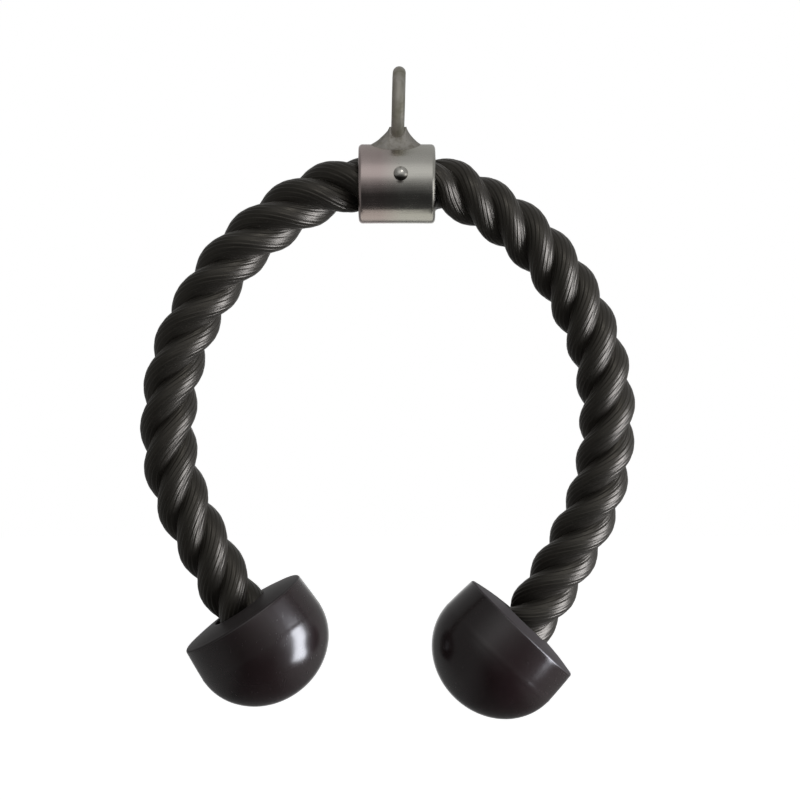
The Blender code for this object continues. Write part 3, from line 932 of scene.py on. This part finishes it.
def rivet(finish):
    """Domed head at the front, hammered tail at the back."""
    head_seat = collar_radius + seat_gap
    tail_seat = -collar_radius - seat_gap - rivet_washer_thickness - seat_gap
    lip = rivet_head_lip
    rise = rivet_head_height - lip
    cap_radius = (rivet_head_radius**2 + rise**2) / (2 * rise)
    cap_reach = math.asin(rivet_head_radius / cap_radius)
    cap_centre = (0, head_seat + rivet_head_height - cap_radius)
    dome = arc(cap_centre, cap_radius, math.pi / 2, math.pi / 2 - cap_reach, rivet_dome_steps)
    foot = arc((0, tail_seat), (rivet_tail_radius, rivet_tail_height), 0, -math.pi / 2, rivet_tail_steps)
    outline = [(0, head_seat + rivet_head_height)] + dome[1:]
    outline += arc((rivet_head_radius - lip, head_seat + lip), lip, 0, -math.pi / 2, edge_steps)[1:]
    outline += [(rivet_radius, head_seat), (rivet_radius, tail_seat)]
    outline += foot[:-1] + [(0, tail_seat - rivet_tail_height)]

    def wobble(radii, heights, angles):
        hammered = (heights < tail_seat + 0.0001) * (radii > 0.0002)
        dents = np.sin(3 * angles + 1.0) * np.cos(radii * 1500) + 0.6 * np.sin(5 * angles + radii * 900)
        return hammered * rivet_dent_width * dents, hammered * rivet_dent_depth * dents

    turn = along(rivet_direction)
    made = turned("rivet", outline, rivet_centre, turn, small_turn_steps, wobble=wobble)
    return finish_piece(made, "collar", ("retaining_rivet",), finish, sharp=50)


def rivet_washer(finish):
    hole = rivet_radius + rivet_hole_clearance
    thickness = rivet_washer_thickness
    low = -collar_radius - seat_gap - thickness
    edge = rivet_washer_radius
    soft = rivet_washer_soft_edge
    turn = along(rivet_direction)
    made = washer(
        "rivet_washer_disc", hole, edge, low, thickness, soft, rivet_centre, turn, small_turn_steps
    )
    finish_piece(made, "collar", ("rivet_washer",), finish, sharp=50)


# Stoppers and what they hold
def stopper_place(sign, route, dip, lean):
    """Where a stopper's rim plane has its centre, and its turn: its local Z points to the dome."""
    direction = aim(sign, dip, lean)
    return from_mouth(sign, *route[-1]) + direction * crown_height(rope_bore_radius), along(direction)


def stopper_outline():
    washer_room = end_washer_radius + stopper_pocket_clearance
    ferrule_room = ferrule_radius + stopper_pocket_clearance
    pocket_top = ferrule_low + ferrule_length + seat_gap + rope_tip_length + seat_gap
    dome = arc((0, stopper_skirt), (stopper_radius, stopper_dome_height), math.pi / 2, 0, dome_steps)
    rim = arc((crown_reach, stopper_rim_round), stopper_rim_round, 0, -math.pi / 2, rim_steps)
    mouth = rope_bore_radius + stopper_bore_lip
    spread = np.linspace(crown_reach, mouth, crown_points)[1:]
    crown = [(float(radius), -crown_height(float(radius))) for radius in spread]
    lip_middle = (mouth, -crown_height(mouth) + stopper_bore_lip)
    lip = arc(lip_middle, stopper_bore_lip, -math.pi / 2, -math.pi, lip_steps)
    outline = filled([(0, stopper_skirt + stopper_dome_height)] + dome[1:] + rim, outline_spacing)
    outline += crown + lip[1:]
    outline += [
        (rope_bore_radius, stopper_bore_depth),
        (washer_room, stopper_bore_depth),
        (washer_room, ferrule_low),
        (ferrule_room, ferrule_low),
        (ferrule_room, pocket_top),
        (0, pocket_top),
    ]
    return outline


def stopper(side, centre, turn, finish, seed):
    def wobble(radii, heights, angles):
        wall = radii > stopper_wall_start
        line = parting_height * np.exp(-(((heights - stopper_skirt) / parting_width) ** 2))
        soft = np.sin(2 * angles + seed) * np.cos(heights * 90 + seed)
        softer = np.sin(3 * angles - 2 * seed + heights * 60)
        outer = np.clip((radii - skirt_taper_start) / skirt_taper_blend, 0, 1)
        taper = skirt_taper * outer * np.clip(1 - heights / stopper_skirt, 0, 1) ** skirt_taper_power
        return wall * (line + stopper_swell * soft + stopper_ripple * softer) - taper, 0

    body = turned("rubber_stopper_" + side, stopper_outline(), centre, turn, wobble=wobble)
    finish_piece(body, "arm_" + side, ("stopper_" + side,), finish, sharp=40)


def end_washer(side, centre, turn, finish):
    name = "end_washer_disc_" + side
    hole = hardware_hole_radius
    edge = end_washer_radius
    low = stopper_bore_depth + seat_gap
    soft = end_washer_soft_edge
    made = washer(name, hole, edge, low, end_washer_thickness, soft, centre, turn, hardware_steps)
    finish_piece(made, "arm_" + side, ("end_washer_" + side,), finish, sharp=50)


def pin_place(centre, turn):
    """The middle of the pin through the sleeve, and the pin's turn."""
    return centre + turn @ Vector((0, 0, ferrule_low + ferrule_length / 2)), turn @ along((0, 1, 0))


def ferrule_parts(side, centre, turn, finish, pin_finish):
    """The crimped sleeve, with two pressed grooves, and the pin across it."""
    low = ferrule_low
    high = low + ferrule_length
    soft = ferrule_soft_edge
    outline = [(hardware_hole_radius, high)]
    outline += arc((ferrule_radius - soft, high - soft), soft, math.pi / 2, 0, edge_steps)
    for share in ferrule_groove_shares:
        for k in range(groove_steps + 1):
            height = low + ferrule_length * share + ferrule_groove_width * (0.5 - k / groove_steps)
            dip = ferrule_groove_depth * 0.5 * (1 - math.cos(2 * math.pi * k / groove_steps))
            outline.append((ferrule_radius - dip, height))
    outline += arc((ferrule_radius - soft, low + soft), soft, 0, -math.pi / 2, edge_steps)
    outline.append((hardware_hole_radius, low))
    sleeve = turned("crimped_sleeve_" + side, outline, centre, turn, hardware_steps, closed=True)
    middle, across = pin_place(centre, turn)
    cut_out(sleeve, rod_cutter(pin_radius + pin_hole_clearance, 3 * ferrule_radius, middle, across))
    finish_piece(sleeve, "arm_" + side, ("crimp_ferrule_" + side,), finish, sharp=40)
    half = ferrule_radius
    pin_outline = [(0, half), (pin_radius - pin_chamfer, half), (pin_radius, half - pin_chamfer)]
    pin_outline += [(radius, -height) for radius, height in reversed(pin_outline)]
    pin = turned("cross_pin_" + side, pin_outline, middle, across, pin_steps)
    finish_piece(pin, "arm_" + side, ("ferrule_pin_" + side,), pin_finish, sharp=40)


def rope_end(side, centre, turn, lay, phase, travelled, finish, tip_finish):
    """The rope inside the stopper, gripped by the ferrule, with its fused and flared tip."""
    start = arm_tuck - crown_height(rope_bore_radius) + seat_gap
    tip_low = ferrule_low + ferrule_length + seat_gap
    tip_high = tip_low + rope_tip_length
    axis = turn @ Vector((0, 0, 1))
    heights = np.arange(start, tip_low, rope_ring_spacing)
    path = np.array([tuple(centre + axis * float(height)) for height in heights])
    rings, forms = laid_rings(path, lay, phase + 2 * math.pi * travelled / lay, end_seed)
    flare = rope_radius + rope_tip_flare
    foot = tip_low - rope_tip_overlap
    round_centre = (flare - rope_tip_round, tip_high - rope_tip_round)
    dimple = tip_high - rope_tip_dimple
    outline = [(0, foot), (rope_radius, foot), (flare, tip_low + rope_tip_step)]
    outline += arc(round_centre, rope_tip_round, 0, math.pi / 2, rope_tip_steps)
    outline += [(flare * 0.6, tip_high + rope_tip_swell), (flare * 0.25, dimple), (0, dimple)]

    def wobble(radii, heights, angles):
        edge = radii > rope_radius * 0.4
        return edge * -rope_tip_slump * (1 + np.sin(3 * angles + 0.8) * np.cos(5 * angles)), 0

    end = surface("rope_end_strands_" + side, rings, start_cap=True, end_cap=True, form=forms)
    tip = turned("rope_tip_" + side, outline, centre, turn, hardware_steps, wobble=wobble)
    middle, across = pin_place(centre, turn)
    cut_out(end, rod_cutter(pin_radius + pin_hole_clearance, 3 * rope_radius, middle, across))
    finish_piece(end, "arm_" + side, ("rope_end_" + side,), finish, sharp=60)
    finish_piece(tip, "arm_" + side, ("rope_end_" + side,), tip_finish, sharp=50)


# Studio
def area_light(name, azimuth, elevation, size, radiance, colour, pieces, keeps=False, place=None, roll=0):
    """A soft box that spares the pieces, or keeps to them.

    Degrees, azimuth from -Y towards +X. Its place is the point it looks at and the distance from there.
    """
    target, distance = place or (lamp_target, lamp_distance)
    azimuth = math.radians(azimuth)
    elevation = math.radians(elevation)
    data = bpy.data.lights.new(name, "AREA")
    data.shape = "RECTANGLE"
    data.size, data.size_y = size
    data.energy = radiance * math.pi * size[0] * size[1]
    data.color = colour
    lamp = placed(name, data)
    level = math.cos(elevation)
    away = Vector((math.sin(azimuth) * level, -math.cos(azimuth) * level, math.sin(elevation)))
    lamp.location = target + away * distance
    lamp.visible_camera = False
    lamp.rotation_mode = "QUATERNION"
    about_itself = Matrix.Rotation(math.radians(roll), 3, "Z").to_quaternion()
    lamp.rotation_quaternion = along(away) @ about_itself
    linked = bpy.data.collections.new(name + "_pieces")
    for piece in pieces:
        linked.objects.link(piece)
    lamp.light_linking.receiver_collection = linked
    for member in linked.collection_objects:
        member.light_linking.link_state = "INCLUDE" if keeps else "EXCLUDE"


def studio_world():
    """A white backdrop behind the object; in front of it a pale room that is dim low down.

    Camera and transmission rays see white all round, glossy rays see it wherever the backdrop stands.
    """
    world = bpy.data.worlds.new("studio")
    bpy.context.scene.world = world
    world.use_nodes = True
    nodes = Nodes(world.node_tree)
    x, y, z = nodes.apart(nodes.add("TexCoord").outputs["Generated"])
    pitch = nodes.math("ARCTAN2", z, nodes.math("MULTIPLY", y, -1.0))
    place = nodes.spread(pitch, -math.pi, math.pi)
    rows = nodes.ramp(place, [((degrees + 180) / 360, level) for degrees, level in room_levels])
    sideways = nodes.spread(nodes.math("ABSOLUTE", x), *side_span)
    sides = nodes.spread(x, -1.0, 1.0, *side_levels)
    room = nodes.mix(sideways, rows, sides)
    path = nodes.add("LightPath")
    backdrop = nodes.spread(y, *backdrop_span)
    mirrored = nodes.math("MULTIPLY", path.outputs["Is Glossy Ray"], backdrop)
    seen = nodes.math("MAXIMUM", path.outputs["Is Camera Ray"], path.outputs["Is Transmission Ray"])
    seen = nodes.math("MAXIMUM", seen, mirrored)
    background = nodes.add("Background")
    nodes.link(nodes.mix(seen, room, (1.0, 1.0, 1.0)), background.inputs["Color"])
    output = nodes.add("OutputWorld")
    nodes.link(background.outputs[0], output.inputs["Surface"])


def studio_floor():
    """A pale floor under the hanging rope: it keeps the shadow and meets the white backdrop."""
    mesh = bpy.data.meshes.new("studio_floor")
    corners = ((-1, -1), (1, -1), (1, 1), (-1, 1))
    points = [(x * floor_half, y * floor_half, floor_height) for x, y in corners]
    mesh.from_pydata(points, [], [(0, 1, 2, 3)])
    floor = placed("studio_floor", mesh)
    made, nodes, shader = material("pale_floor")
    grain = nodes.noise(nodes.place(), 12.0, 3.0)
    nodes.link(nodes.mix(grain, (0.78, 0.78, 0.78), (0.82, 0.82, 0.82)), shader.inputs["Base Color"])
    set_inputs(shader, Roughness=0.9, Emission_Color=(1, 1, 1, 1))
    seen = nodes.add("LightPath").outputs["Is Camera Ray"]
    nodes.link(nodes.math("MULTIPLY", seen, floor_glow), shader.inputs["Emission Strength"])
    mesh.materials.append(made)
    floor.visible_glossy = False


make_camera()
rope_finish = rope_material()
arms = (
    ("left", -1, left_route, left_stopper_dip, left_stopper_lean, left_lay, left_phase),
    ("right", 1, right_route, right_stopper_dip, right_stopper_lean, right_lay, right_phase),
)
arm_lengths = [rope_arm(*arm, rope_finish) for arm in arms]
rope_middle(rope_finish)

collar_piece = collar(plated_material("collar_plating", (1500, 1500, 45)))
eye_piece = eye(plated_material("eye_plating", (1500, 1500, 60), dullness=0.34))
weld_piece = weld(weld_material())
rivet_piece = rivet(rivet_material())
rivet_washer(zinc_material("rivet_washer_zinc"))

rubbers = [
    rubber_material("moulded_rubber_left", left_bloom),
    rubber_material("moulded_rubber_right", right_bloom),
]
sleeve_zinc = zinc_material("ferrule_zinc")
washer_zinc = zinc_material("end_washer_zinc")
pin_zinc = zinc_material("pin_zinc")
fused = melted_material()
for arm, length, rubber, seed in zip(arms, arm_lengths, rubbers, stopper_seeds):
    side, sign, route, dip, lean, lay, phase = arm
    centre, turn = stopper_place(sign, route, dip, lean)
    stopper(side, centre, turn, rubber, seed)
    end_washer(side, centre, turn, washer_zinc)
    ferrule_parts(side, centre, turn, sleeve_zinc, pin_zinc)
    rope_end(side, centre, turn, lay, phase, length, rope_finish, fused)

eye_and_weld = (eye_piece, weld_piece)
small_metal = (*eye_and_weld, rivet_piece)
large_metal = (*eye_and_weld, collar_piece)
metal = (*small_metal, collar_piece)
near_white = (1.0, 0.99, 0.96)
low_place = (collar_centre, low_lamp_distance)
front_place = (collar_centre, front_lamp_distance)
area_light("key_softbox", 72, -6, (0.55, 1.25), 15.8, (0.90, 0.92, 1.0), metal, roll=15)
area_light("second_softbox", 43, 3, (0.34, 0.55), 0.55, (0.95, 0.93, 1.0), small_metal)
area_light("side_softbox", 72, -3, (0.56, 0.88), 0.8, near_white, metal, keeps=True)
area_light("top_softbox", 20, 50, (0.20, 0.20), 6.0, near_white, large_metal)
area_light("low_softbox", 0, -112, (0.7, 0.62), 0.56, (1.0, 0.99, 0.92), large_metal, True, low_place)
area_light("front_fill", -12, -34, (0.9, 0.55), 0.64, (1.0, 0.98, 0.93), eye_and_weld, True, front_place)
studio_world()
studio_floor()
bpy.context.scene.view_settings.view_transform = "Standard"
